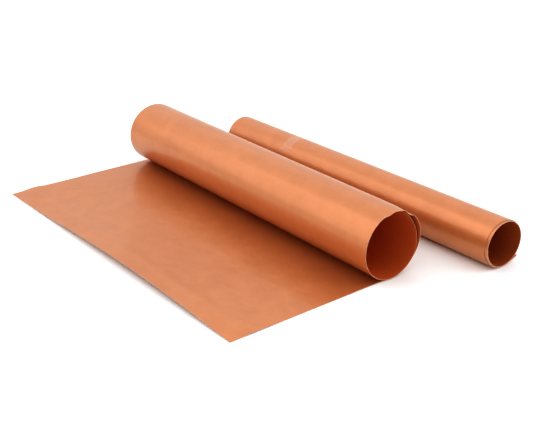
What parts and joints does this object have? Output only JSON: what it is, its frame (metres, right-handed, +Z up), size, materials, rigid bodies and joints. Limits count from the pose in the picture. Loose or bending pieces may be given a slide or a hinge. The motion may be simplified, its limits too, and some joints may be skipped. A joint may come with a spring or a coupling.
{
  "type": "copper sheet roll",
  "caption": "Pair of wide copper-coloured sheets rolled into tubes side by side: one partly unrolled into a flat leaf, the other rolled tight and held with clear tape.",
  "frame": {"origin": "centre of the footprint of the two rolls, on the table", "axes": "+X along the rolls, -Y towards the free edge of the unrolled leaf, +Z up"},
  "size_m": [0.3708, 0.2528, 0.0561],
  "materials": {
    "copper_coating": "satin metallic copper coating, faintly mottled, the weave just showing",
    "glass_cloth": "plain-weave glass cloth soaked in the coating, seen only at the cut edges",
    "tape_film": "clear glossy film",
    "tape_adhesive": "clear, faintly yellow adhesive"
  },
  "bodies": {
    "leaf": {"leaf_cloth": "glass_cloth", "leaf_top_coating": "copper_coating", "leaf_under_coating": "copper_coating"},
    "front_wrap": {"wrap_cloth": "glass_cloth", "wrap_inner_coating": "copper_coating", "wrap_outer_coating": "copper_coating"},
    "front_coil": {"coil_cloth": "glass_cloth", "coil_inner_coating": "copper_coating", "coil_outer_coating": "copper_coating"},
    "rear_roll": {"rear_cloth": "glass_cloth", "rear_inner_coating": "copper_coating", "rear_outer_coating": "copper_coating", "tape_held_film": "tape_film", "tape_held_adhesive": "tape_adhesive"},
    "tape_strip": {"tape_free_film": "tape_film", "tape_free_adhesive": "tape_adhesive"}
  },
  "joints": [
    {"name": "roll_up", "type": "slide", "parent": "leaf", "child": "front_wrap", "axis": [0, -1, 0], "range_m": [0, 0.13]},
    {"name": "coil_spin", "type": "hinge", "parent": "front_wrap", "child": "front_coil", "pos_m": [-0.0204, 0.02446, 0.0283], "axis": [1, 0, 0], "range_deg": [0, 268]},
    {"name": "rear_lift_off", "type": "slide", "parent": "leaf", "child": "rear_roll", "axis": [0, 0, 1], "range_m": [0, 0.12]},
    {"name": "tape_peel", "type": "hinge", "parent": "rear_roll", "child": "tape_strip", "pos_m": [-0.0592, 0.11997, 0.00958], "axis": [-0.9998, -0.0175, 0], "range_deg": [0, 110]}
  ],
  "couplings": [
    {"joint": "coil_spin", "follows": "roll_up", "rad_per_m": 35.971}
  ]
}
